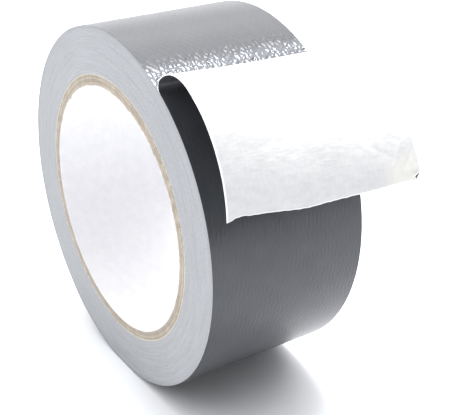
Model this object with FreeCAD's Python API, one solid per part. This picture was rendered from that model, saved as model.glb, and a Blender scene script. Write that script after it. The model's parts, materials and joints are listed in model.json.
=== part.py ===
"""A roll of cloth-backed duct tape standing on its rim, with the free end peeled and folded back.

The roll's axis is Y, +Z is up, and the origin is the centre of the core's bore.
The tape leaves the winding at the peel line on the +X side, turns back over itself in a small fold,
and hangs in front of the roll with its adhesive facing outward.

The core is a spiral-wound paper tube: a white liner, kraft plies and a thin outer ply, each with a
butt joint that runs round the tube as a helix.
The tape is one strip of three layers, film, cloth and adhesive. Its sections are separate solids:
the winding, the outermost turn, the fold, and the two panels of the free end.
"""
import FreeCAD
import Part
import math
import os
from FreeCAD import Vector

# Driving dimensions, in millimetres and degrees.
TAPE_WIDTH = 50.0
BORE_RADIUS = 38.1          # a core for a 76.2 mm spindle
LINER_THICKNESS = 0.2
KRAFT_PLY_THICKNESS = 0.65
KRAFT_PLIES = 4
OUTER_PLY_THICKNESS = 0.3
ROLL_RADIUS = 55.2          # over the outermost turn, where that turn begins
FLAT_HALF_ANGLE = 3.5       # the roll's own weight flattens it a little where it stands
FILM_THICKNESS = 0.06
CLOTH_THICKNESS = 0.05
ADHESIVE_THICKNESS = 0.06

# The butt joint of each ply.
JOINT_PITCH = 130.0         # axial advance of the joint in one turn
JOINT_GAP = 0.25
JOINT_STEP = 167.5          # how far round the next ply's joint is
LINER_JOINT_ANGLE = 133.0   # where the liner's joint meets the near end

# The free end. Each edge of the strip is a chain of arcs that turn clockwise, seen with +Y away:
# (radius, angle turned). The near edge is at -Y, the far edge at +Y.
PEEL_ANGLE = 56.5           # the peel line, above the +X axis
FOLD_NEAR = [(1.5, 44.5), (3.0, 60.0), (11.7, 42.0)]
FOLD_FAR = [(1.5, 80.0), (2.0, 60.0), (57.4, 7.0)]
INNER_NEAR = [(11.7, 30.5), (35.2, 22.0)]
INNER_FAR = [(57.4, 10.0), (57.4, 10.0)]
HINGE_NEAR = [(35.2, 0.4)]  # the narrow gap that the end panel bends across
HINGE_FAR = [(57.4, 0.25)]
END_NEAR = [(35.2, 10.0), (35.2, 24.3)]
END_FAR = [(57.4, 5.35), (25.1, 45.0)]

TAPE_THICKNESS = FILM_THICKNESS + CLOTH_THICKNESS + ADHESIVE_THICKNESS
CORE_RADIUS = (BORE_RADIUS + LINER_THICKNESS + KRAFT_PLIES * KRAFT_PLY_THICKNESS
               + OUTER_PLY_THICKNESS)
NEAR_Y = -TAPE_WIDTH / 2
FAR_Y = TAPE_WIDTH / 2
# Each layer's two faces, as distances from the strip's outer face towards its adhesive face.
LAYERS = {
    "film": (0.0, FILM_THICKNESS),
    "cloth": (FILM_THICKNESS, FILM_THICKNESS + CLOTH_THICKNESS),
    "adhesive": (FILM_THICKNESS + CLOTH_THICKNESS, TAPE_THICKNESS),
}
ALONG_AXIS = Vector(0, TAPE_WIDTH, 0)


def polar(radius, angle, y=NEAR_Y):
    """A point at a radius and an angle above +X, in the plane at y."""
    a = math.radians(angle)
    return Vector(radius * math.cos(a), y, radius * math.sin(a))


def ring(inner, outer):
    """A plain tube section about the Y axis, as wide as the tape."""
    start = Vector(0, NEAR_Y, 0)
    axis = Vector(0, 1, 0)
    return Part.makeCylinder(outer, TAPE_WIDTH, start, axis).cut(
        Part.makeCylinder(inner, TAPE_WIDTH, start, axis))


def helical_cutter(inner, outer, angle):
    """The narrow helical wall of space that a ply's butt joint leaves. Its near end is at the angle."""
    overrun = 2.0
    middle = (inner + outer) / 2
    height = TAPE_WIDTH + 2 * overrun
    turn = 2 * math.pi * middle
    slope = math.hypot(turn, JOINT_PITCH)
    across = Vector(0, -JOINT_PITCH / slope, turn / slope)
    corners = []
    for radius, side in ((inner - 1, -1), (outer + 1, -1), (outer + 1, 1), (inner - 1, 1)):
        corners.append(Vector(radius, 0, 0) + across * (side * JOINT_GAP / 2))
    profile = Part.makePolygon(corners + corners[:1])
    path = Part.Wire(Part.makeHelix(JOINT_PITCH, height, middle).Edges)
    cutter = path.makePipeShell([profile], True, True)
    cutter.rotate(Vector(0, 0, 0), Vector(0, 0, 1), -angle - 360 * overrun / JOINT_PITCH)
    cutter.translate(Vector(0, 0, NEAR_Y - overrun))
    cutter.rotate(Vector(0, 0, 0), Vector(1, 0, 0), -90)
    return cutter


def core_ply(inner, outer, angle):
    """One ply of the core: a strip wound once round, with its edges meeting along a helix."""
    return ring(inner, outer).cut(helical_cutter(inner, outer, angle))


def arc_edge(radius, start, end, centre=Vector(0, 0, 0)):
    """A circular edge in the near plane, between two angles above +X."""
    points = [polar(radius, a) + centre for a in (start, (start + end) / 2, end)]
    return Part.Arc(*points).toShape()


def turn_outline(radius):
    """One turn outward from the peel line, in two half turns about centres half a thickness apart.

    The second half turn has the short flat that the roll stands on.
    """
    shift = polar(TAPE_THICKNESS / 2, PEEL_ANGLE, 0)
    grown = radius + TAPE_THICKNESS / 2
    flat = (270 - FLAT_HALF_ANGLE, 270 + FLAT_HALF_ANGLE)
    return [
        arc_edge(radius, PEEL_ANGLE, PEEL_ANGLE + 180),
        arc_edge(grown, PEEL_ANGLE + 180, flat[0], shift),
        Part.makeLine(*(polar(grown, a) + shift for a in flat)),
        arc_edge(grown, flat[1], PEEL_ANGLE + 360, shift),
    ]


def winding():
    """Every turn under the outermost one, as one block from the core to the spiral it ends in."""
    outline = turn_outline(ROLL_RADIUS - TAPE_THICKNESS)
    step = Part.makeLine(polar(ROLL_RADIUS, PEEL_ANGLE), polar(ROLL_RADIUS - TAPE_THICKNESS, PEEL_ANGLE))
    face = Part.Face(Part.Wire(outline + [step]))
    block = face.extrude(ALONG_AXIS)
    bore = Part.makeCylinder(CORE_RADIUS, TAPE_WIDTH, Vector(0, NEAR_Y, 0), Vector(0, 1, 0))
    return block.cut(bore)


def outer_turn(layer):
    """One layer of the outermost turn, from under the peel line once round to the peel line."""
    top, bottom = LAYERS[layer]
    outside = turn_outline(ROLL_RADIUS - top)
    inside = turn_outline(ROLL_RADIUS - bottom)
    grown = TAPE_THICKNESS
    start = Part.makeLine(polar(ROLL_RADIUS - top, PEEL_ANGLE), polar(ROLL_RADIUS - bottom, PEEL_ANGLE))
    end = Part.makeLine(polar(ROLL_RADIUS + grown - top, PEEL_ANGLE),
                        polar(ROLL_RADIUS + grown - bottom, PEEL_ANGLE))
    edges = Part.sortEdges(outside + inside + [start, end])[0]
    return Part.Face(Part.Wire(edges)).extrude(ALONG_AXIS)


def edge_states(arcs_before, arcs, y):
    """Where the strip's outer face is, and which way it heads, at the ends and middle of each arc."""
    point = polar(ROLL_RADIUS + TAPE_THICKNESS, PEEL_ANGLE, y)
    heading = math.radians(PEEL_ANGLE + 90)
    states = []
    for number, (radius, turned) in enumerate(arcs_before + arcs):
        wanted = number >= len(arcs_before)
        if number == len(arcs_before):
            states.append((point, heading))
        right = Vector(math.sin(heading), 0, -math.cos(heading))
        centre = point + right * radius
        for share in (0.5, 1.0):
            angle = heading - math.radians(turned) * share
            out = Vector(-math.sin(angle), 0, math.cos(angle))
            if wanted:
                states.append((centre + out * radius, angle))
        point, heading = centre + out * radius, angle
    return states


def offset(state, distance):
    """A point that lies off the strip's outer face, towards its adhesive face."""
    point, heading = state
    return point + Vector(-math.sin(heading), 0, math.cos(heading)) * distance


def layer_wire(arcs_before, arcs, y, layer):
    """The closed outline of one layer in the plane at y."""
    states = edge_states(arcs_before, arcs, y)
    film_side, glue_side = ([offset(s, d) for s in states] for d in LAYERS[layer])
    edges = []
    for first in range(0, len(states) - 1, 2):
        edges.append(Part.Arc(*film_side[first:first + 3]).toShape())
    edges.append(Part.makeLine(film_side[-1], glue_side[-1]))
    for last in range(len(states) - 1, 0, -2):
        edges.append(Part.Arc(*glue_side[last - 2:last + 1][::-1]).toShape())
    edges.append(Part.makeLine(glue_side[0], film_side[0]))
    return Part.Wire(edges)


def free_section(near_before, near, far_before, far, layer):
    """One layer of a stretch of the free end, ruled straight from its near edge to its far edge."""
    wires = [layer_wire(near_before, near, NEAR_Y, layer), layer_wire(far_before, far, FAR_Y, layer)]
    return Part.makeLoft(wires, True, True)


def core_pieces():
    """The plies of the core, from the bore outward."""
    plies = [("core_liner", LINER_THICKNESS)]
    for number in range(1, KRAFT_PLIES + 1):
        plies.append((f"core_kraft_ply_{number}", KRAFT_PLY_THICKNESS))
    plies.append(("core_outer_ply", OUTER_PLY_THICKNESS))
    pieces = {}
    inner = BORE_RADIUS
    angle = LINER_JOINT_ANGLE
    for name, thickness in plies:
        pieces[name] = core_ply(inner, inner + thickness, angle)
        inner += thickness
        angle += JOINT_STEP
    return pieces


def tape_pieces():
    """The winding, and the three layers of the outermost turn and of the free end."""
    inner_near = FOLD_NEAR + INNER_NEAR + HINGE_NEAR
    inner_far = FOLD_FAR + INNER_FAR + HINGE_FAR
    pieces = {"tape_winding": winding()}
    for layer in LAYERS:
        pieces[f"outer_turn_{layer}"] = outer_turn(layer)
        pieces[f"tail_fold_{layer}"] = free_section([], FOLD_NEAR, [], FOLD_FAR, layer)
        pieces[f"tail_inner_{layer}"] = free_section(FOLD_NEAR, INNER_NEAR, FOLD_FAR, INNER_FAR, layer)
        pieces[f"tail_end_{layer}"] = free_section(inner_near, END_NEAR, inner_far, END_FAR, layer)
    return pieces


def main():
    os.makedirs("parts", exist_ok=True)
    pieces = {**core_pieces(), **tape_pieces()}
    for name, shape in pieces.items():
        shape.exportStep(f"parts/{name}.step")
        box = shape.BoundBox
        print(f"{name}: valid {shape.isValid()}, {shape.Volume:.1f} mm3, "
              f"{len(shape.Solids)} solid, {box.XLength:.2f} x {box.YLength:.2f} x {box.ZLength:.2f} mm")


main()
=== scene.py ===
"""Looks for the duct tape roll: the core's plies, the wound tape, the outermost turn and the free end."""
import json
import math

import bpy
import numpy as np
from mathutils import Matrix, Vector


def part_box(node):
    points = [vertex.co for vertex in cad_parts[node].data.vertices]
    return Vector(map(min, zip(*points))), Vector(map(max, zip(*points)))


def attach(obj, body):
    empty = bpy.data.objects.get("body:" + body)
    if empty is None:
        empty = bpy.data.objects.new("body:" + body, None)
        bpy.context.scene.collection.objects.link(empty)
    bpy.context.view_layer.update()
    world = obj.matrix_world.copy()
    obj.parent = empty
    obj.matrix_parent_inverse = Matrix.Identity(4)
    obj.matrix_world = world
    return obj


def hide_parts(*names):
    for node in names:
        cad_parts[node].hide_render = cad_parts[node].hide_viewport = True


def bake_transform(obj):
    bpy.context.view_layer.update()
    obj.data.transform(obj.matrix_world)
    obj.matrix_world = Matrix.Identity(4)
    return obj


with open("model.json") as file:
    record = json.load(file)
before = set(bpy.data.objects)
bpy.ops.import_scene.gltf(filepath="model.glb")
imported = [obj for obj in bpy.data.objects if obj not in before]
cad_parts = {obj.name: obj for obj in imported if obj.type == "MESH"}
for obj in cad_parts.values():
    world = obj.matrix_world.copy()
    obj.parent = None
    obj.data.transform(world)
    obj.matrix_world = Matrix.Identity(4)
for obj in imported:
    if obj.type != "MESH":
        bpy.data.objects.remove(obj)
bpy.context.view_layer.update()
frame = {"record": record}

MM = 0.001

# ---------------------------------------------------------------- the object's own sizes, in mm

bore_mount = next(m for m in frame["record"]["mounts"] if m["name"] == "core_bore")
BORE_R = bore_mount["dims"]["r_mm"]
NEAR_Y, FAR_Y = (c.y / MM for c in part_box("tape_winding"))
WIDTH = FAR_Y - NEAR_Y
LINER, KRAFT, OUTER_PLY = 0.2, 0.65, 0.3      # thicknesses of the core's papers
KRAFT_PLIES = 4
CORE_R = BORE_R + LINER + KRAFT_PLIES * KRAFT + OUTER_PLY
ROLL_R = 55.2                     # over the outermost turn, where it begins
FILM, CLOTH, GLUE = 0.06, 0.05, 0.06
TAPE = FILM + CLOTH + GLUE
TURNS = 82                        # turns under the outermost one
PEEL = 56.5                       # the peel line's angle above +X, in degrees
BOTTOM = 270.0                    # the angle at which the roll stands, in degrees
FLAT_HALF = 3.5                   # half the angle of the flat that it stands on, in degrees

# the free end's two edges: arcs of (radius, angle turned), from the peel line to the torn end
NEAR_ARCS = [(1.5, 44.5), (3.0, 60.0), (11.7, 42.0), (11.7, 30.5), (35.2, 22.0),
             (35.2, 0.4), (35.2, 10.0), (35.2, 24.3)]
FAR_ARCS = [(1.5, 80.0), (2.0, 60.0), (57.4, 7.0), (57.4, 10.0), (57.4, 10.0),
            (57.4, 0.25), (57.4, 5.35), (25.1, 45.0)]
SPLIT = 4                         # the free end's two pieces meet where this many arcs have ended
LAST = len(NEAR_ARCS) - 1         # the last arc, which the torn end makes longer or shorter

# The strip's own places are mm along it, from 0 at the peel line to the torn end, and mm across it from
# its middle. The outermost turn comes before the peel line, so its places along the strip are negative.
WARP_PITCH = 1.25                 # threads that run along the strip
WEFT_PITCH = 1.7                  # threads that run across it
PULLED_TO = -math.tau * ROLL_R + 8.5   # where the pulled, bright stretch of the outermost turn ends
PULLED_EASE = 1.5                 # half the length over which it fades
SOILED_ALONG = (49.5, 54.5)       # the adhesive yellows from the first place to the second,
SOILED_ACROSS = (14.0, 19.0)      # and stays so beyond


# ---------------------------------------------------------------- small helpers

def smooth(x, low, high):
    """0 below low, 1 above high, and an even S between."""
    t = np.clip((np.asarray(x, float) - low) / (high - low), 0.0, 1.0)
    return t * t * (3 - 2 * t)


def ripples(seed, a, b, count, longest, shortest):
    """Smooth seeded noise of two coordinates in mm, mostly between -1 and 1: count waves added up."""
    rng = np.random.default_rng(seed)
    total = np.zeros(np.broadcast(a, b).shape)
    for _ in range(count):
        wave = math.exp(rng.uniform(math.log(shortest), math.log(longest)))
        way, phase = rng.uniform(0, math.tau, 2)
        total = total + np.sin(math.tau / wave * (a * math.cos(way) + b * math.sin(way)) + phase)
    return total / math.sqrt(count)


def ring_noise(seed, angle, count, highest):
    """Smooth seeded noise that closes on itself round a circle, with up to highest waves in it."""
    rng = np.random.default_rng(seed)
    total = np.zeros(np.shape(angle))
    for _ in range(count):
        total = total + np.sin(rng.integers(1, highest + 1) * angle + rng.uniform(0, math.tau))
    return total / math.sqrt(count)


SHARP = 60.0                      # edges that turn by more than this are sharp, in degrees


def make_piece(name, points, faces, slots, face_slot, uv=None):
    """A mesh object from points in mm and arrays of faces, which share its slots by number."""
    mesh = bpy.data.meshes.new(name)
    flat = np.ascontiguousarray(points.reshape(-1, 3) * MM, dtype=np.float32)
    corners = np.concatenate([f.ravel() for f in faces]).astype(np.int32)
    sizes = np.concatenate([np.full(len(f), f.shape[1]) for f in faces])
    starts = np.concatenate([[0], np.cumsum(sizes)[:-1]]).astype(np.int32)
    mesh.vertices.add(len(flat))
    mesh.vertices.foreach_set("co", flat.ravel())
    mesh.loops.add(len(corners))
    mesh.loops.foreach_set("vertex_index", corners)
    mesh.polygons.add(len(sizes))
    mesh.polygons.foreach_set("loop_start", starts)
    mesh.polygons.foreach_set("material_index", np.concatenate(face_slot).astype(np.int32))
    mesh.polygons.foreach_set("use_smooth", np.ones(len(sizes), dtype=bool))
    if uv is not None:
        layer = mesh.uv_layers.new(name="strip")
        layer.data.foreach_set("uv", (uv.reshape(-1, 2)[corners] * MM).astype(np.float32).ravel())
    for material in slots:
        mesh.materials.append(material)
    mesh.update(calc_edges=True)
    mesh.validate()
    mesh.set_sharp_from_angle(angle=math.radians(SHARP))
    piece = bpy.data.objects.new(name, mesh)
    bpy.context.scene.collection.objects.link(piece)
    return piece


def torus_faces(rows, columns):
    """Quads of a grid that closes both ways; rows are the outer index."""
    r, c = np.meshgrid(np.arange(rows), np.arange(columns), indexing="ij")
    here, further = r * columns, (r + 1) % rows * columns
    c2 = (c + 1) % columns
    return np.stack([here + c, here + c2, further + c2, further + c], -1).reshape(-1, 4)


def tube_faces(stations, around):
    """Quads of a tube whose rings close, one ring at each station, open at both ends."""
    s, c = np.meshgrid(np.arange(stations - 1), np.arange(around), indexing="ij")
    here, further = s * around, (s + 1) * around
    c2 = (c + 1) % around
    return np.stack([here + c, here + c2, further + c2, further + c], -1).reshape(-1, 4)


# ---------------------------------------------------------------- materials

class Nodes:
    """A short way to build a material's node tree."""

    def __init__(self, name):
        self.material = bpy.data.materials.new(name)
        self.material.use_nodes = True
        self.tree = self.material.node_tree
        self.shader = self.tree.nodes["Principled BSDF"]

    def add(self, kind, settings=None, **inputs):
        """A new node with its settings and inputs."""
        node = self.tree.nodes.new(kind)
        for key, value in (settings or {}).items():
            setattr(node, key, value)
        for key, value in inputs.items():
            self.plug(node, key, value)
        return node

    def plug(self, node, key, value):
        """Links or sets one input, named by its label with _ for spaces, or by its number as i0 or i1."""
        numbered = key[0] == "i" and key[1:].isdigit()
        socket = node.inputs[int(key[1:]) if numbered else key.replace("_", " ")]
        if isinstance(value, bpy.types.NodeSocket):
            self.tree.links.new(value, socket)
        else:
            socket.default_value = value

    def place(self, kind):
        """The place on the surface, as UV (metres along and across the strip) or Object (metres)."""
        return self.add("ShaderNodeTexCoord").outputs[kind]

    def parts(self, vector):
        """A vector's x, y and z."""
        return self.add("ShaderNodeSeparateXYZ", Vector=vector).outputs[:]

    def stretch(self, vector, scale):
        return self.add("ShaderNodeMapping", Vector=vector, Scale=scale).outputs[0]

    def math(self, operation, a, b=0.0):
        return self.add("ShaderNodeMath", {"operation": operation}, i0=a, i1=b).outputs[0]

    def noise(self, vector, scale, detail=3.0, roughness=0.55):
        """Noise between 0 and 1; scale is about how many lumps there are to a metre."""
        return self.add("ShaderNodeTexNoise", Vector=vector, Scale=scale, Detail=detail,
                        Roughness=roughness).outputs[0]

    def spread(self, value, low, high, to_low=0.0, to_high=1.0):
        """A value's range low to high spread over to_low to to_high, and held at those beyond it."""
        return self.add("ShaderNodeMapRange", Value=value, From_Min=low, From_Max=high,
                        To_Min=to_low, To_Max=to_high).outputs[0]

    def mix(self, share, first, second):
        return self.add("ShaderNodeMix", {"data_type": "RGBA"}, i0=share, i6=first, i7=second).outputs[2]

    def bump(self, height, distance):
        """A bumped normal, where height 1 stands distance metres out."""
        return self.add("ShaderNodeBump", Height=height, Distance=distance, Strength=1.0).outputs[0]

    def finish(self, **inputs):
        """Sets the shader's inputs and gives the material."""
        for key, value in inputs.items():
            self.plug(self.shader, key, value)
        return self.material


def grey(value, blue=0.0):
    """A near-neutral colour; blue leans it a little cooler."""
    return (value * (1 - blue), value * (1 - blue * 0.3), value * (1 + blue), 1.0)


def film_material():
    """Aluminium-grey polythene film: satin, with the fine grain of the pigment."""
    dark, light, speck = grey(0.037, 0.09), grey(0.048, 0.09), grey(0.10, 0.06)
    bright = grey(0.12, 0.06)
    satin, glossy = grey(0.28), grey(0.22)
    n = Nodes("film_finish")
    strip = n.place("UV")
    along = n.parts(strip)[0]
    grain = n.noise(strip, scale=9000.0, detail=2.0)
    cloud = n.noise(strip, scale=120.0)
    dimples = n.noise(strip, scale=2500.0, detail=2.0)
    colour = n.mix(n.spread(cloud, 0.3, 0.7), dark, light)
    colour = n.mix(n.spread(grain, 0.35, 0.65, 0.0, 0.35), colour, speck)
    # the film that the tape was just peeled off is pulled brighter and glossier
    pulled = n.spread(along, (PULLED_TO + PULLED_EASE) * MM, (PULLED_TO - PULLED_EASE) * MM)
    colour = n.mix(pulled, colour, bright)
    rough = n.mix(pulled, satin, glossy)
    metal = n.math("MULTIPLY", pulled, 0.55)
    height = n.math("ADD", grain, n.math("MULTIPLY", dimples, 1.5))
    return n.finish(Base_Color=colour, Metallic=metal, Roughness=rough, Specular_IOR_Level=0.42,
                    Specular_Tint=(0.97, 0.955, 1.0, 1.0), Normal=n.bump(height, 0.006 * MM))


def adhesive_material():
    """White natural-rubber adhesive with the scrim's threads showing through."""
    hollow, crown, thin = grey(0.585, 0.008), grey(0.615, 0.006), grey(0.53, 0.01)
    # the second colour here whitens the cut edges: bare cloth, and a painted highlight
    soil, bare_cloth_and_highlight = (0.80, 0.78, 0.70, 1.0), grey(0.92)
    wander_by = 9.0                   # radians that the noise may shift a thread by
    n = Nodes("adhesive_finish")
    strip = n.place("UV")
    along, across = n.parts(strip)[:2]
    wander = n.noise(strip, scale=260.0, detail=2.0)
    phase = n.math("ADD", n.math("MULTIPLY", across, math.tau / (WARP_PITCH * MM)),
                   n.math("MULTIPLY", wander, wander_by))
    breaks = n.noise(n.stretch(strip, (0.3, 1.0, 1.0)), scale=900.0, detail=2.0)
    warp = n.math("MULTIPLY", n.math("SINE", phase), n.spread(breaks, 0.35, 0.7))
    cloud = n.noise(n.stretch(strip, (1.0, 0.6, 1.0)), scale=520.0, detail=4.0, roughness=0.65)
    colour = n.mix(n.spread(warp, -1.0, 1.0), hollow, crown)
    colour = n.mix(n.spread(cloud, 0.40, 0.68, 0.0, 0.75), colour, thin)
    # a soiled patch at the torn end's far corner
    soiled = n.math("MULTIPLY", n.spread(along, SOILED_ALONG[0] * MM, SOILED_ALONG[1] * MM),
                    n.spread(across, SOILED_ACROSS[0] * MM, SOILED_ACROSS[1] * MM))
    soiled = n.math("MULTIPLY", soiled, n.spread(cloud, 0.3, 0.6, 0.35, 1.0))
    colour = n.mix(n.math("MULTIPLY", soiled, 0.6), colour, soil)
    # both cut edges are whiter: partly the cloth's bare threads, partly a painted highlight along the edges
    edge = n.spread(n.math("ABSOLUTE", across), (WIDTH / 2 - 0.45) * MM, (WIDTH / 2 - 0.2) * MM)
    colour = n.mix(edge, colour, bare_cloth_and_highlight)
    height = n.math("ADD", n.noise(strip, scale=1400.0), n.math("MULTIPLY", warp, 0.15))
    return n.finish(Base_Color=colour, Roughness=0.45, Normal=n.bump(height, 0.02 * MM))


def cloth_material():
    """The cut or torn edge of the cloth and adhesive: white and fibrous."""
    n = Nodes("scrim_finish")
    fibre = n.noise(n.place("Object"), scale=4000.0)
    colour = n.mix(n.spread(fibre, 0.3, 0.7), grey(0.80), grey(0.93))
    return n.finish(Base_Color=colour, Roughness=0.8, Normal=n.bump(fibre, 0.04 * MM))


def side_material():
    """The wound side: edges of film, cloth and adhesive, turn on turn."""
    dark, light, line = grey(0.295, 0.03), grey(0.338, 0.03), grey(0.39, 0.03)
    fibre_tone, rim_tone = grey(0.24, 0.05), grey(0.28, 0.05)
    per_radian = 1.2                  # mm of noise to a radian, so that it hardly changes on its way round
    n = Nodes("wound_side_finish")
    place = n.place("Object")
    x, _, z = n.parts(place)
    angle = n.math("ARCTAN2", z, x)
    radius = n.math("SQRT", n.math("ADD", n.math("MULTIPLY", x, x), n.math("MULTIPLY", z, z)))
    polar = n.add("ShaderNodeCombineXYZ", X=radius, Y=n.math("MULTIPLY", angle, per_radian * MM),
                  Z=0.0).outputs[0]
    bands = n.noise(polar, scale=900.0, roughness=0.6)
    lines = n.noise(polar, scale=2500.0, detail=2.0, roughness=0.6)
    fibres = n.noise(place, scale=2600.0, roughness=0.7)
    colour = n.mix(n.spread(bands, 0.3, 0.7), dark, light)
    colour = n.mix(n.spread(lines, 0.38, 0.66, 0.0, 0.85), colour, line)
    colour = n.mix(n.spread(fibres, 0.42, 0.68, 0.0, 0.75), colour, fibre_tone)
    # darker in a thin ring at the outer rim
    rim = n.spread(radius, (ROLL_R - 1.1) * MM, (ROLL_R - 0.9) * MM)
    colour = n.mix(n.math("MULTIPLY", rim, 0.5), colour, rim_tone)
    height = n.math("ADD", lines, n.math("MULTIPLY", fibres, 1.2))
    return n.finish(Base_Color=colour, Roughness=0.6, Normal=n.bump(height, 0.04 * MM))


def shade(colour, tone=1.0):
    """A colour of three parts as one of four, lighter or darker by tone."""
    return tuple(c * tone for c in colour) + (1.0,)


def paper_material(name, light, dark, fibre_scale, rough, depth, flecks):
    """Paper or board: dark clouds of pulp, darker fibres of strength flecks, and relief of depth mm."""
    n = Nodes(name)
    place = n.place("Object")
    pulp = n.noise(place, scale=350.0, detail=4.0)
    fibre = n.noise(place, scale=fibre_scale, roughness=0.65)
    colour = n.mix(n.spread(pulp, 0.35, 0.68), dark, light)
    colour = n.mix(n.spread(fibre, 0.42, 0.70, 0.0, flecks), colour, shade(dark[:3], 0.75))
    height = n.math("ADD", fibre, n.math("MULTIPLY", pulp, 0.5))
    return n.finish(Base_Color=colour, Roughness=rough, Normal=n.bump(height, depth * MM))


KRAFT_LIGHT, KRAFT_DARK = (0.43, 0.376, 0.309), (0.33, 0.285, 0.228)
KRAFT_TONES = (1.05, 0.92, 1.12, 0.95)      # one to a ply, so that the board looks banded

FILM_MAT = film_material()
GLUE_MAT = adhesive_material()
CLOTH_MAT = cloth_material()
SIDE_MAT = side_material()
LINER_MAT = paper_material("liner_finish", shade((0.745, 0.74, 0.755)), shade((0.705, 0.70, 0.72)),
                           fibre_scale=2200.0, rough=0.55, depth=0.02, flecks=0.15)
OUTER_PLY_MAT = paper_material("core_outer_finish", shade((0.64, 0.60, 0.53)), shade((0.56, 0.52, 0.45)),
                               fibre_scale=3000.0, rough=0.8, depth=0.04, flecks=0.5)
KRAFT_MATS = [
    paper_material(f"kraft_finish_{i + 1}", shade(KRAFT_LIGHT, tone), shade(KRAFT_DARK, tone),
                   fibre_scale=3200.0, rough=0.85, depth=0.06, flecks=0.65)
    for i, tone in enumerate(KRAFT_TONES)
]


# ---------------------------------------------------------------- the spiral-wound core

JOINT_PITCH = 130.0               # mm across the roll for one turn of a ply's joint
JOINT_GAP = 0.25                  # mm between a ply's two edges
JOINT_STEP = 167.5                # degrees from one ply's joint to the next one's
FIRST_JOINT = 133.0               # the liner's joint at the near rim, in degrees
PLY_AROUND, PLY_DOWN, PLY_THROUGH = 540, 40, 3      # cells round the core, along its axis and through a ply
BURR = 0.45                       # how far the two inmost papers' torn rims usually stand into the bore
# torn bits of paper in that rim: place in degrees, height in burrs, spread in degrees
SCRAPS = ((133.0, 1.2, 0.9), (106.0, 0.5, 1.4), (71.0, 0.4, 1.0), (152.0, 0.7, 1.2))
TINY = 1e-6


def scraps(angle):
    """How far the torn bits of paper stand into the bore at the near rim, in burrs."""
    total = 0.0 * angle
    for place, height, width in SCRAPS:
        off = np.degrees(angle) - place
        total = total + height * np.exp(-((off + 180) % 360 - 180) ** 2 / (2 * width ** 2))
    return total


def ply(name, inner, outer, joint, material, seed, ragged, burr):
    """A strip of paper wound once round, its edges meeting along a helix, with rough cut ends."""
    around, down, through = PLY_AROUND, PLY_DOWN, PLY_THROUGH
    a = np.linspace(0.0, 1.0, around + 1)
    y = np.linspace(NEAR_Y, FAR_Y, down + 1)
    inside = np.linspace(inner, outer, through + 1)[1:-1]
    # the outline of the strip's section, inner face then outer face
    loop_r = np.concatenate([np.full(down + 1, inner), inside, np.full(down + 1, outer), inside[::-1]])
    loop_y = np.concatenate([y, np.full(through - 1, FAR_Y), y[::-1], np.full(through - 1, NEAR_Y)])
    gap = math.radians(360 * JOINT_GAP / (math.tau * (inner + outer) / 2))
    joint_angle = math.radians(joint) - (loop_y - NEAR_Y) / JOINT_PITCH * math.tau
    angle = joint_angle[None, :] + gap / 2 + a[:, None] * (math.tau - gap)
    at_end = (np.abs(loop_y) > WIDTH / 2 - TINY)[None, :] * np.ones_like(angle)
    side = np.sign(loop_y)[None, :]
    r = np.broadcast_to(loop_r[None, :], angle.shape).copy()
    fibre = ripples(seed, angle * outer, r * 3, 26, 4.0, 0.5)
    y_out = np.broadcast_to(loop_y[None, :], angle.shape) + side * at_end * (fibre * ragged - ragged * 1.2)
    # the cut rims are eased by 0.03 mm on both faces, and ragged
    ease = at_end * ((np.abs(r - inner) < TINY) * 1.0 - (np.abs(r - outer) < TINY) * 1.0)
    r = r + ease * 0.03 + at_end * ripples(seed + 1, angle * outer, r, 18, 3.0, 0.6) * 0.012
    # the burr takes the liner's whole thickness along, and of the ply behind it mostly the inner side
    reach = 1 - (r - inner) / (outer - inner) * (inner > BORE_R + 0.1)
    rough_rim = smooth(np.sin(angle + math.radians(10)), 0.1, 0.9) * (1 + 0.25 * fibre)
    r = r - burr * at_end * (side < 0) * reach * (rough_rim + scraps(angle))
    points = np.stack([r * np.cos(angle), y_out, r * np.sin(angle)], -1)
    ring = len(loop_r)
    faces = tube_faces(around + 1, ring)
    caps = []
    for station, turn in ((0, 1), (around, -1)):
        base = station * ring
        far_base = base + 2 * down + through
        # close the strip's cut edge: pair inner-face points with outer-face points
        for i in range(down):
            quad = [base + i, base + i + 1, far_base - 1 - i, far_base - i]
            caps.append(quad[::turn])
    piece = make_piece(name, points, [faces[:, ::-1], np.array(caps)], [material],
                       [np.zeros(len(faces) + len(caps))])
    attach(piece, "roll")
    return piece


ply_r = BORE_R
plies = [("core_liner", LINER, LINER_MAT, "liner_paper")]
plies += [(f"core_kraft_ply_{i + 1}", KRAFT, KRAFT_MATS[i], "kraft_paper") for i in range(KRAFT_PLIES)]
plies += [("core_outer_ply", OUTER_PLY, OUTER_PLY_MAT, "core_outer_paper")]
for number, (node, thick, material, slot) in enumerate(plies):
    piece = ply(node + "_paper", ply_r, ply_r + thick, FIRST_JOINT + number * JOINT_STEP, material,
                seed=40 + number, ragged=0.02 if number == 0 else 0.05, burr=BURR if number < 2 else 0.0)
    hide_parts(node)
    ply_r += thick


# ---------------------------------------------------------------- the winding and the outermost turn

def spiral_radius(angle_past_peel, base):
    """A wound surface's radius: base for half a turn past the peel line, then growing by TAPE.

    It is flattened where the roll stands.
    """
    a = np.asarray(angle_past_peel, float)
    shift = TAPE / 2
    grown = base + shift
    # the second half turn lies on a circle whose centre is shifted towards the peel line
    off = shift * np.cos(a) + np.sqrt(np.maximum(grown ** 2 - (shift * np.sin(a)) ** 2, 0))
    r = np.where(a > math.pi, off, base)
    from_bottom = np.abs(a + math.radians(PEEL) - math.radians(BOTTOM))
    half = math.radians(FLAT_HALF)
    chord = grown * math.cos(half) / np.cos(np.minimum(from_bottom, half))
    return np.where(from_bottom < half, np.minimum(r, chord + off - grown), r)


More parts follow.
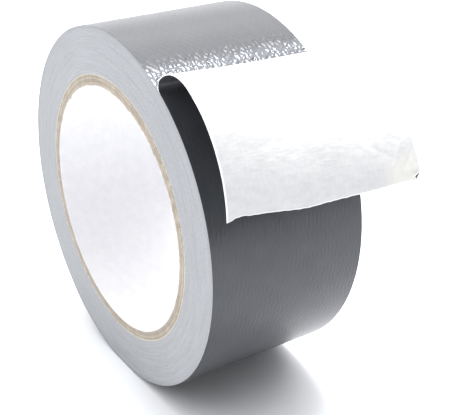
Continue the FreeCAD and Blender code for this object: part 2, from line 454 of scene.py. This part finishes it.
def streaks(seed, along, across, count, pitch, tilt):
    """Broken ridges along the strip, about pitch mm apart, which stray by about tilt radians."""
    rng = np.random.default_rng(seed)
    total = np.zeros(np.broadcast(along, across).shape)
    for _ in range(count):
        size = math.tau / (pitch * rng.normal(1.0, 0.12))
        way, phase = rng.normal(0.0, tilt), rng.uniform(0, math.tau)
        total = total + np.sin(size * (across * math.cos(way) + along * math.sin(way)) + phase)
    return total / math.sqrt(count)


def weave(along, across):
    """The scrim's relief through the strip, mostly -1 to 1: broken ridges of warp, and a fainter weft."""
    warp_phase = math.tau * across / WARP_PITCH + 1.6 * ripples(13, along, across, 14, 16.0, 3.0)
    weft_phase = math.tau * along / WEFT_PITCH + 1.2 * ripples(11, along, across, 14, 16.0, 4.0)
    crowns = np.sin(warp_phase / 2) * np.sin(weft_phase / 2)
    ridges = streaks(12, along, across, 40, WARP_PITCH, 0.45)
    return 0.45 * ridges + 0.55 * crowns + 0.12 * np.cos(weft_phase)


def wound_side():
    """The turns under the outermost one, with every turn's edge standing out on both sides."""
    around = 300
    inset, groove = 0.05, 0.030       # mm in from the strip's edge, and between one turn and the next
    step_size, drift_size, waver_size = 0.009, 0.025, 0.006
    a = np.linspace(0, math.tau, around, endpoint=False)
    rows = np.arange(2 * TURNS + 1) / (2 * TURNS)
    outer = spiral_radius(a, ROLL_R - TAPE)
    r = CORE_R + rows[:, None] * (outer[None, :] - CORE_R)
    crest = (np.arange(len(rows)) % 2)[:, None]
    turn = np.repeat(np.arange(TURNS + 1), 2)[: len(rows)]
    theta = a + math.radians(PEEL)
    points = []
    for side, seed in ((-1, 71), (1, 72)):
        # each turn sits a little to one side, by a step of its own and a slow drift, and wavers on its way
        rng = np.random.default_rng(seed)
        step = rng.normal(0, step_size, TURNS + 1)
        drift = np.convolve(rng.normal(0, drift_size, TURNS + 13), np.ones(6) / 6, "same")[6: TURNS + 7]
        waver = np.stack([ring_noise(seed * 100 + k, a, 6, 9) for k in range(TURNS + 1)])
        proud = (step + drift)[turn][:, None] + waver_size * waver[turn] - groove * (1 - crest)
        edge = smooth(r, CORE_R, CORE_R + 0.3) * (1 - smooth(r, outer - 0.3, outer))
        y = side * (WIDTH / 2 - inset + proud * edge)
        points.append(np.stack([r * np.cos(theta), y, r * np.sin(theta)], -1))
    near, far = points
    grid = np.concatenate([near, far[::-1]])
    faces = torus_faces(len(grid), around)
    return make_piece("wound_tape", grid, [faces], [SIDE_MAT], [np.zeros(len(faces))])


winding = wound_side()
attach(winding, "roll")
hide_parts("tape_winding")

ACROSS = 200                      # columns across the strip
FILM_SLOT, GLUE_SLOT, CLOTH_SLOT = 0, 1, 2


def strip_piece(name, film_face, normal, along, across, film_relief, glue_relief, bead=0.0, white_rows=0,
                glued_down=False, edge=CLOTH_MAT):
    """The strip as one closed mesh: film, cut edges of cloth and adhesive, and the adhesive's own face.

    The bead is how far the cut edges swell sideways, and white_rows is how many rows of the adhesive's
    face at the torn end take the white cloth finish: bare cloth, and a painted highlight along the torn end.
    A strip that is glued down has only the two edges of that face.
    """
    columns = [0, -1] if glued_down else list(range(along.shape[1]))
    outward = np.array([0.0, 1.0, 0.0]) * bead
    bead_depth = FILM + (CLOTH + GLUE) * 0.6
    seam = film_face + normal * FILM
    swell = film_face + normal * bead_depth
    glue_face = (film_face + normal * (TAPE + glue_relief)[..., None])[:, columns]
    # one ring goes over the film, down the far edge, back over the adhesive and up the near edge
    film_out = film_face - normal * film_relief[..., None]
    rings = np.concatenate([film_out, seam[:, -1:], swell[:, -1:] + outward,
                            glue_face[:, ::-1], swell[:, :1] - outward, seam[:, :1]], axis=1)
    flat = np.stack([along, across], -1)
    uv = np.concatenate([flat, flat[:, -1:], flat[:, -1:], flat[:, columns][:, ::-1],
                         flat[:, :1], flat[:, :1]], axis=1)
    stations, ring = rings.shape[:2]
    wide, glued = along.shape[1], len(columns)
    faces = tube_faces(stations, ring)
    column = np.tile(np.arange(ring), stations - 1)
    row = np.repeat(np.arange(stations - 1), ring)
    film = (column < wide) | (column == ring - 1)
    glue = (column > wide + 2) & (column < wide + glued) & (row < stations - 1 - white_rows)
    slot = np.where(film, FILM_SLOT, np.where(glue, GLUE_SLOT, CLOTH_SLOT))
    last = (stations - 1) * ring
    if glued_down:
        ends = np.stack([np.arange(ring), np.arange(last, last + ring)[::-1]])
    else:
        i = np.arange(wide - 1)
        quads = np.stack([i, i + 1, 2 * wide - i, 2 * wide + 1 - i], -1)
        tips = np.array([[0, 2 * wide + 1, 2 * wide + 2, 2 * wide + 3], [wide - 1, wide, wide + 1, wide + 2]])
        cap = np.concatenate([quads, tips])
        ends = np.concatenate([cap, cap[:, ::-1] + last])
    return make_piece(name, rings, [faces, ends], [FILM_MAT, GLUE_MAT, edge],
                      [slot, np.full(len(ends), CLOTH_SLOT)], uv)


def outer_turn():
    """The outermost turn, once round from the peel line, with the scrim telegraphing through its film."""
    fine = math.radians(13)           # the stations are closer together up to here
    a = np.concatenate([np.linspace(0, fine, 52, endpoint=False), np.linspace(fine, math.tau, 420)])
    v = np.linspace(0, 1, ACROSS + 1)
    r = spiral_radius(a, ROLL_R)
    across = (NEAR_Y + WIDTH * v)[None, :] * np.ones((len(a), 1))
    past = a[:, None] * ROLL_R * np.ones((1, len(v)))
    # the film was pulled up here as the tape was peeled off it, so the scrim stands out sharply
    reach = 8.8 - 1.0 * (v[None, :] - 0.5) + 1.1 * ripples(5, across, 0 * across, 8, 20.0, 2.5)
    ruffled = 1 - smooth(past, reach - 2.0, reach + 1.0)
    # heights in mm: the threads, higher near the peel line, then the crumpled film and slow waves
    thread_height = 0.042 + 0.040 * ruffled + 0.045 * (1 - smooth(past, 12.0, 25.0))
    crumple, swell = 0.060, 0.012
    relief = weave(past, across) * thread_height
    relief = relief + ruffled * crumple * ripples(6, past * 0.75, across, 160, 1.7, 0.9)
    relief = relief + swell * ripples(7, past, across, 16, 60.0, 12.0)
    relief = relief * (1 - 0.9 * smooth(np.abs(across), WIDTH / 2 - 0.4, WIDTH / 2))
    # nothing stands out where the roll stands
    theta = a + math.radians(PEEL)
    from_bottom = np.abs(theta - math.radians(BOTTOM))[:, None]
    relief = np.where(from_bottom < math.radians(FLAT_HALF + 1), np.minimum(relief, 0.0), relief)
    out = np.stack([np.cos(theta), 0 * theta, np.sin(theta)], -1)[:, None, :] * np.ones((1, len(v), 1))
    face = out * r[:, None, None]
    face[..., 1] = across
    return strip_piece("outer_turn", face, -out, past - math.tau * ROLL_R, across, relief, 0 * relief,
                       bead=0.03, glued_down=True, edge=SIDE_MAT)


turn_piece = outer_turn()
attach(turn_piece, "roll")
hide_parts("outer_turn_film", "outer_turn_cloth", "outer_turn_adhesive")


# ---------------------------------------------------------------- the free end

# slight creases near the torn end's far corner: start and end as (along, across), height, half width
CREASES = [
    ((44.0, 10.0), (50.0, 14.5), 0.08, 0.7),
    ((46.5, 13.5), (52.5, 19.5), -0.10, 0.6),
    ((48.5, 21.0), (54.0, 18.0), 0.13, 0.5),
    ((50.5, 23.8), (55.5, 20.5), -0.12, 0.4),
    ((51.0, 22.0), (56.0, 23.5), 0.11, 0.4),
    ((44.0, 19.0), (49.0, 23.5), 0.07, 0.6),
]
FOLD_WAY = (0.53, 0.85)           # the folded corner's direction, along and across the strip
FOLD_REACH = 1.85                 # how much of the corner is folded
FOLD_EASE = 0.32                  # the radius of its bend, almost twice the tape's thickness
FOLD_TURN = 155.0                 # how far it is turned over, in degrees
SPACING = 0.25                    # between stations along the free end


def edge_points(arcs, t):
    """Points of one edge of the free end's film face; t counts arcs, whole numbers at their ends."""
    angle = math.radians(PEEL)
    point = np.array([math.cos(angle), math.sin(angle)]) * (ROLL_R + TAPE)
    heading = angle + math.pi / 2
    out = np.zeros((len(t), 2))
    for number, (radius, turned) in enumerate(arcs):
        turned = math.radians(turned)
        centre = point + radius * np.array([math.sin(heading), -math.cos(heading)])
        here = (t >= number) & ((t < number + 1) | (number == len(arcs) - 1))
        a = heading - turned * (t[here] - number)
        out[here] = centre + radius * np.stack([-np.sin(a), np.cos(a)], -1)
        heading -= turned
        point = centre + radius * np.array([-math.sin(heading), math.cos(heading)])
    return out


def arc_lengths(arcs):
    """How long each arc is."""
    return np.array([r * math.radians(a) for r, a in arcs])


NEAR_LEN, FAR_LEN = arc_lengths(NEAR_ARCS), arc_lengths(FAR_ARCS)


def torn_by(v):
    """How far the torn end runs past a straight one, v of the strip's width in from its near edge."""
    corner = 0.5 * (1 - smooth(v, 0.0, 0.05))
    notch = -0.4 * np.exp(-((v - 0.07) / 0.04) ** 2)
    slope = 2.0 * smooth(v, 0.05, 0.45)
    hook = 0.5 * smooth(v, 0.93, 1.0)
    return corner + notch + slope + hook


def fray(v):
    """The torn end's fine raggedness: seeded noise, and a wave every second thread."""
    rng = np.random.default_rng(21)
    ragged = np.convolve(rng.normal(0, 1, len(v) + 8), [0.2, 0.5, 1.0, 0.5, 0.2], "same")[4:-4] * 0.02
    return ragged + 0.03 * np.sin(math.tau * v * WIDTH / 2 / WARP_PITCH)


def free_end_grid(first, last, torn):
    """The film face of the free end's arcs from first up to last, with its places along and across."""
    stretches = []
    for number in range(first, last):
        steps = int(round(max(NEAR_LEN[number], FAR_LEN[number]) / SPACING))
        stretches.append(number + np.linspace(0, 1, max(2, steps), endpoint=False))
    v = np.linspace(0, 1, ACROSS + 1)
    t = np.concatenate(stretches + [[float(last)]])[:, None] * np.ones((1, len(v)))
    if torn:
        by = torn_by(v) + fray(v)
        length = NEAR_LEN[LAST] + (FAR_LEN[LAST] - NEAR_LEN[LAST]) * v
        t = np.where(t > LAST, LAST + (t - LAST) * (1 + by / length)[None, :], t)
    near = edge_points(NEAR_ARCS, t.ravel()).reshape(t.shape + (2,))
    far = edge_points(FAR_ARCS, t.ravel()).reshape(t.shape + (2,))
    flat = near + (far - near) * v[None, :, None]
    across = NEAR_Y + WIDTH * v[None, :] * np.ones_like(t)
    face = np.stack([flat[..., 0], across, flat[..., 1]], -1)
    whole = np.minimum(np.floor(t).astype(int), LAST)
    reached = []
    for lengths in (NEAR_LEN, FAR_LEN):
        starts = np.concatenate([[0], np.cumsum(lengths)])
        reached.append(starts[whole] + (t - whole) * lengths[whole])
    along = reached[0] + (reached[1] - reached[0]) * v[None, :]
    return face, along, across


def surface_normals(face):
    """Unit normals towards the adhesive side."""
    down = np.gradient(face, axis=0)
    over = np.gradient(face, axis=1)
    normal = np.cross(down, over)
    return normal / np.linalg.norm(normal, axis=-1, keepdims=True)


def crease(along, across, start, end, half_width):
    """A ridge of height 1 along a line from start to end, each (along, across), fading at its ends."""
    way = np.subtract(end, start).astype(float)
    length = np.linalg.norm(way)
    way = way / length
    here = (along - start[0]) * way[0] + (across - start[1]) * way[1]
    off = (across - start[1]) * way[0] - (along - start[0]) * way[1]
    fade = smooth(here, -1.0, 1.5) * (1 - smooth(here, length - 1.5, length + 1.0))
    return np.exp(-(off / half_width) ** 2) * fade


def fold_corner(face, normal, along, across):
    """Turns the torn end's far corner over, towards the adhesive side."""
    torn, edge = along[-1, -1], across[-1, -1]
    beyond = (along - torn) * FOLD_WAY[0] + (across - edge) * FOLD_WAY[1] + FOLD_REACH
    corner = np.argmin(np.abs(along[:, -1] - (torn - FOLD_REACH)))
    down = face[-1, -1] - face[corner, -1]
    over = face[corner, -1] - face[corner, -5]
    up = normal[corner, -1]
    way = FOLD_WAY[0] * down / np.linalg.norm(down) + FOLD_WAY[1] * over / np.linalg.norm(over)
    way = way - up * way.dot(up)
    way = way / np.linalg.norm(way)
    b = np.maximum(beyond, 0.0)
    phi = np.minimum(b / FOLD_EASE, math.radians(FOLD_TURN))
    rest = b - FOLD_EASE * phi
    shift_out = FOLD_EASE * np.sin(phi) + rest * np.cos(phi) - b
    shift_up = FOLD_EASE * (1 - np.cos(phi)) + rest * np.sin(phi)
    moved = face + way * shift_out[..., None] + up * shift_up[..., None]
    turned = np.cos(phi)[..., None] * normal - np.sin(phi)[..., None] * way
    return moved, turned / np.linalg.norm(turned, axis=-1, keepdims=True)


def free_end(name, first, last, torn):
    """A piece of the free end, its arcs from first up to last, and its points' places along the strip."""
    face, along, across = free_end_grid(first, last, torn)
    normal = surface_normals(face)
    # the sheet isn't a perfect ruled surface: slow waves that die out towards the peel line
    loose = smooth(along, 6.0, 30.0)
    wave = 0.16 * ripples(31, along, across, 9, 40.0, 14.0)
    wave = wave + 0.03 * ripples(32, along, across, 14, 12.0, 4.0)
    for start, end, height, half_width in CREASES:
        wave = wave + height * crease(along, across, start, end, half_width)
    face = face + normal * (wave * loose)[..., None]
    normal = surface_normals(face)
    threads = weave(along, across)
    # away from the cut edges the threads and lumps show, and at the edges the adhesive stands higher
    inside = 1 - smooth(np.abs(across), WIDTH / 2 - 0.5, WIDTH / 2)
    lumps = 0.020 * ripples(33, along, across * 0.55, 50, 3.0, 0.8)
    glue = (0.006 * threads + lumps) * inside + 0.09 * (1 - inside)
    if torn:
        glue = glue + 0.07 * smooth(along, along[-1:] - 0.6, along[-1:] - 0.1)
        face, normal = fold_corner(face, normal, along, across)
    # at the torn end the last row of the adhesive's face is white cloth: bare cloth, and a painted highlight
    # line
    piece = strip_piece(name, face, normal, along, across, 0.020 * threads * inside, glue, bead=0.05,
                        white_rows=1 if torn else 0)
    return piece, along


fold_piece, fold_along = free_end("free_end_fold", 0, SPLIT, False)
end_piece, end_along = free_end("free_end_panel", SPLIT, len(NEAR_ARCS), True)

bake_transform(fold_piece)
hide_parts("tail_fold_film", "tail_fold_cloth", "tail_fold_adhesive",
            "tail_inner_film", "tail_inner_cloth", "tail_inner_adhesive")
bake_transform(end_piece)
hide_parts("tail_end_film", "tail_end_cloth", "tail_end_adhesive")


# ---------------------------------------------------------------- floor, light and camera

def floor():
    """A plain pale floor, level with the lowest point of the roll."""
    mesh = bpy.data.meshes.new("floor")
    reach = 6.0
    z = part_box("outer_turn_film")[0].z
    mesh.from_pydata([(-reach, -reach, z), (reach, -reach, z), (reach, reach, z), (-reach, reach, z)], [],
                     [(0, 1, 2, 3)])
    obj = bpy.data.objects.new("floor", mesh)
    bpy.context.scene.collection.objects.link(obj)
    n = Nodes("floor_white")
    cloud = n.noise(n.place("Object"), scale=3.0)
    colour = n.mix(n.spread(cloud, 0.3, 0.7), grey(0.86, 0.02), grey(0.88, 0.02))
    obj.data.materials.append(n.finish(Base_Color=colour, Roughness=0.9, Specular_IOR_Level=0.1))


def softbox(name, place, aim, width, depth, watts):
    """A white rectangle of light at place that faces aim, in metres."""
    light = bpy.data.lights.new(name, "AREA")
    light.shape = "RECTANGLE"
    light.size, light.size_y = width, depth
    light.energy = watts
    obj = bpy.data.objects.new(name, light)
    obj.location = place
    obj.rotation_mode = "QUATERNION"
    obj.rotation_quaternion = (Vector(aim) - Vector(place)).to_track_quat("-Z", "Y")
    bpy.context.scene.collection.objects.link(obj)


def studio_world():
    """Soft room light: a pale backdrop behind the roll, and a darker room on its open side."""
    pale_side = (-0.80, 0.45, 0.40)
    dark_level, pale_level = 0.05, 1.9
    world = bpy.data.worlds.new("studio")
    bpy.context.scene.world = world
    world.use_nodes = True
    tree = world.node_tree
    way = tree.nodes.new("ShaderNodeTexCoord").outputs["Generated"]
    towards = tree.nodes.new("ShaderNodeVectorMath")
    towards.operation = "DOT_PRODUCT"
    towards.inputs[1].default_value = pale_side
    tree.links.new(way, towards.inputs[0])
    level = tree.nodes.new("ShaderNodeMapRange")
    level.interpolation_type = "SMOOTHSTEP"
    for name, value in (("From Min", -0.5), ("From Max", 1.0),
                        ("To Min", dark_level), ("To Max", pale_level)):
        level.inputs[name].default_value = value
    tree.links.new(towards.outputs["Value"], level.inputs["Value"])
    background = tree.nodes["Background"]
    background.inputs["Color"].default_value = (0.98, 0.985, 1.0, 1.0)
    tree.links.new(level.outputs[0], background.inputs["Strength"])


floor()
softbox("overhead", (-0.45, 0.43, 1.08), (-0.35, 0.3, 0), width=1.9, depth=1.7, watts=20.0)
softbox("key", (-0.07, 0.20, 1.1), (0, 0, 0), width=0.35, depth=0.35, watts=10.5)
softbox("front_right", (0.50, -0.85, 0.12), (0, 0, 0), width=0.5, depth=0.5, watts=2.6)
softbox("front", (0.10, -0.85, 0.95), (0, 0, 0), width=1.0, depth=1.0, watts=6.0)
studio_world()

view = bpy.context.scene.view_settings
view.view_transform = "Standard"
view.look = "None"
view.exposure = 0.0
view.gamma = 1.0

CAMERA_PLACE = (0.245007, -0.144303, 0.135178)
CAMERA_AZIMUTH, CAMERA_ELEVATION = math.radians(56.66), math.radians(26.45)
camera_data = bpy.data.cameras.new("camera")
camera_data.sensor_fit = "HORIZONTAL"
camera_data.sensor_width = 36.0
camera_data.lens = 78.5
camera_data.clip_start, camera_data.clip_end = 0.01, 50.0
camera = bpy.data.objects.new("camera", camera_data)
back = Vector((math.sin(CAMERA_AZIMUTH) * math.cos(CAMERA_ELEVATION),
               -math.cos(CAMERA_AZIMUTH) * math.cos(CAMERA_ELEVATION), math.sin(CAMERA_ELEVATION)))
camera.location = CAMERA_PLACE
camera.rotation_mode = "QUATERNION"
camera.rotation_quaternion = (-back).to_track_quat("-Z", "Y")
bpy.context.scene.collection.objects.link(camera)
bpy.context.scene.camera = camera
